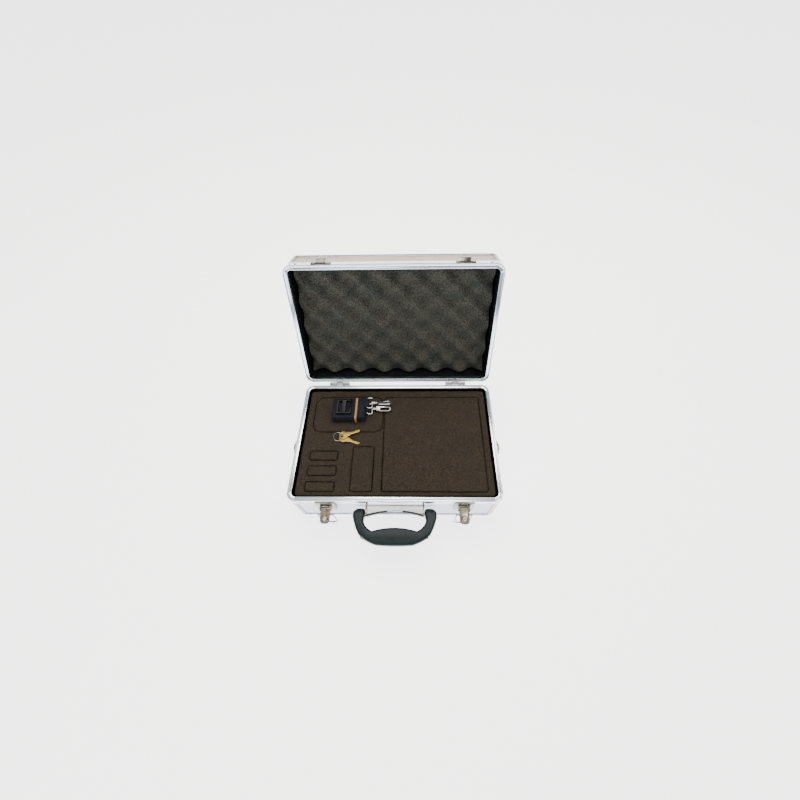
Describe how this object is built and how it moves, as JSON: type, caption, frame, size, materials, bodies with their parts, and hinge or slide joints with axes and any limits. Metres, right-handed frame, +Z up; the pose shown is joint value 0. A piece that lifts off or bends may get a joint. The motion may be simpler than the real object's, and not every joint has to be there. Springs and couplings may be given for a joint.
{
  "type": "telescope carry case",
  "caption": "Aluminium-framed carry case, open, with a die-cut foam bed, egg-crate foam lid, draw latches, folding handle and shoulder strap.",
  "frame": {"origin": "centre of the flat underside of the base", "axes": "+X to the right, +Y to the back where the hinges are, +Z up; the handle and latches face -Y"},
  "size_m": [0.3424, 0.3884, 0.2898],
  "materials": {
    "board": "silver laminate over board",
    "post_aluminium": "satin rounded corner post",
    "corner_aluminium": "satin, bent corner",
    "rail_aluminium": "satin anodised extrusion",
    "foam_base": "dense charcoal foam",
    "lining": "black brushed lining",
    "rivet_aluminium": "domed rivet head",
    "handle_black": "moulded, fine grain",
    "badge": "blank bright plate",
    "bar_black": "smooth",
    "steel_pin": "plain pin",
    "bright_plate": "bright plated sheet",
    "hinge_steel": "plated leaf",
    "bright_wire": "bright plated wire",
    "key_brass": "stamped",
    "foam_lid": "convoluted charcoal foam",
    "lock_brass": "brushed plug",
    "elastic_tan": "tan elastic band",
    "webbing": "woven navy-black webbing",
    "slider_black": "moulded slider"
  },
  "bodies": {
    "base": {"base_back_panel": "board", "base_bottom_panel": "board", "base_corner_posts": "post_aluminium", "base_edge_corners": "corner_aluminium", "base_edge_rails": "rail_aluminium", "base_foam_bed": "foam_base", "base_foam_insert": "foam_base", "base_front_panel": "board", "base_lining": "lining", "base_rim_corners": "corner_aluminium", "base_rim_rails": "rail_aluminium", "base_rivets": "rivet_aluminium", "base_side_panels": "board", "foam_plug_accessory": "foam_base", "foam_plug_telescope": "foam_base", "foam_plugs_small": "foam_base", "handle_badge": "badge", "handle_bar": "bar_black", "handle_pins": "steel_pin", "handle_plate": "bright_plate", "hinge_leaves_base": "hinge_steel", "hinge_pins": "steel_pin", "hook_eyes": "bright_wire", "key_ring": "bright_wire", "latch_pins": "steel_pin", "latch_plate_left": "bright_plate", "latch_plate_right": "bright_plate", "ring_brackets": "bright_plate", "strap_band": "elastic_tan", "strap_bundle": "webbing", "strap_slider": "slider_black"},
    "lid": {"hinge_leaves_lid": "hinge_steel", "lid_back_panel": "board", "lid_catches": "bright_plate", "lid_corner_posts": "post_aluminium", "lid_edge_corners": "corner_aluminium", "lid_edge_rails": "rail_aluminium", "lid_foam": "foam_lid", "lid_front_panel": "board", "lid_lining": "lining", "lid_rim_corners": "corner_aluminium", "lid_rim_rails": "rail_aluminium", "lid_rivets": "rivet_aluminium", "lid_side_panels": "board", "lid_top_panel": "board"},
    "handle": {"handle": "handle_black"},
    "hook_gate_1": {"hook_gate_1": "bright_wire"},
    "hook_gate_2": {"hook_gate_2": "bright_wire"},
    "key_1": {"key_1": "key_brass"},
    "key_2": {"key_2": "key_brass"},
    "latch_bail_left": {"latch_bail_left": "bright_wire"},
    "latch_bail_right": {"latch_bail_right": "bright_wire"},
    "latch_lever_left": {"latch_lever_left": "bright_plate"},
    "latch_lever_right": {"latch_lever_right": "bright_plate"},
    "lock_cylinder_left": {"lock_cylinder_left": "lock_brass"},
    "lock_cylinder_right": {"lock_cylinder_right": "lock_brass"},
    "snap_hook_1": {"snap_hook_1": "bright_wire"},
    "snap_hook_2": {"snap_hook_2": "bright_wire"},
    "strap_ring_left": {"strap_ring_left": "bright_wire"},
    "strap_ring_right": {"strap_ring_right": "bright_wire"}
  },
  "joints": [
    {"name": "lid_hinge", "type": "hinge", "parent": "base", "child": "lid", "pos_m": [0, 0.109, 0.0832], "axis": [1, 0, 0], "range_deg": [0, 108.7]},
    {"name": "handle_pivot", "type": "hinge", "parent": "base", "child": "handle", "pos_m": [0, -0.115, 0.052], "axis": [1, 0, 0], "range_deg": [-85, 90]},
    {"name": "lever_left", "type": "hinge", "parent": "base", "child": "latch_lever_left", "pos_m": [-0.107, -0.1105, 0.06], "axis": [-1, 0, 0], "range_deg": [-12, 75]},
    {"name": "bail_left", "type": "hinge", "parent": "latch_lever_left", "child": "latch_bail_left", "pos_m": [-0.107, -0.11918, 0.05754], "axis": [1, 0, 0], "range_deg": [-180, 0]},
    {"name": "lock_left", "type": "hinge", "parent": "latch_lever_left", "child": "lock_cylinder_left", "pos_m": [-0.107, -0.1258, 0.05982], "axis": [0, -0.2079, 0.9781], "range_deg": [0, 90]},
    {"name": "lever_right", "type": "hinge", "parent": "base", "child": "latch_lever_right", "pos_m": [0.107, -0.1105, 0.06], "axis": [-1, 0, 0], "range_deg": [-12, 75]},
    {"name": "bail_right", "type": "hinge", "parent": "latch_lever_right", "child": "latch_bail_right", "pos_m": [0.107, -0.11918, 0.05754], "axis": [1, 0, 0], "range_deg": [-180, 0]},
    {"name": "lock_right", "type": "hinge", "parent": "latch_lever_right", "child": "lock_cylinder_right", "pos_m": [0.107, -0.1258, 0.05982], "axis": [0, -0.2079, 0.9781], "range_deg": [0, 90]},
    {"name": "ring_left", "type": "hinge", "parent": "base", "child": "strap_ring_left", "pos_m": [-0.1686, -0.012, 0.0725], "axis": [0, 1, 0], "range_deg": [0, 100]},
    {"name": "ring_right", "type": "hinge", "parent": "base", "child": "strap_ring_right", "pos_m": [0.1686, -0.012, 0.0725], "axis": [0, -1, 0], "range_deg": [0, 100]},
    {"name": "hook_swivel_1", "type": "hinge", "parent": "base", "child": "snap_hook_1", "pos_m": [-0.0372, 0.055, 0.0836], "axis": [1, 0, 0], "continuous": true},
    {"name": "gate_1", "type": "hinge", "parent": "snap_hook_1", "child": "hook_gate_1", "pos_m": [-0.0308, 0.05813, 0.08427], "axis": [0, 0.2079, -0.9781], "range_deg": [0, 20], "stiffness_Nm_per_rad": 0.005, "springref_deg": -20.05},
    {"name": "hook_swivel_2", "type": "hinge", "parent": "base", "child": "snap_hook_2", "pos_m": [-0.0372, 0.0635, 0.0895], "axis": [1, 0, 0], "continuous": true},
    {"name": "gate_2", "type": "hinge", "parent": "snap_hook_2", "child": "hook_gate_2", "pos_m": [-0.0308, 0.06658, 0.08862], "axis": [0, -0.2756, -0.9613], "range_deg": [0, 20], "stiffness_Nm_per_rad": 0.005, "springref_deg": -20.05},
    {"name": "key_turn_1", "type": "hinge", "parent": "base", "child": "key_1", "pos_m": [-0.09046, 0.0007, 0.0814], "axis": [0.0802, 0, 0.9968], "range_deg": [-12, 15]},
    {"name": "key_turn_2", "type": "hinge", "parent": "base", "child": "key_2", "pos_m": [-0.09046, 0.0033, 0.0829], "axis": [0.0802, 0, 0.9968], "range_deg": [-15, 12]}
  ]
}
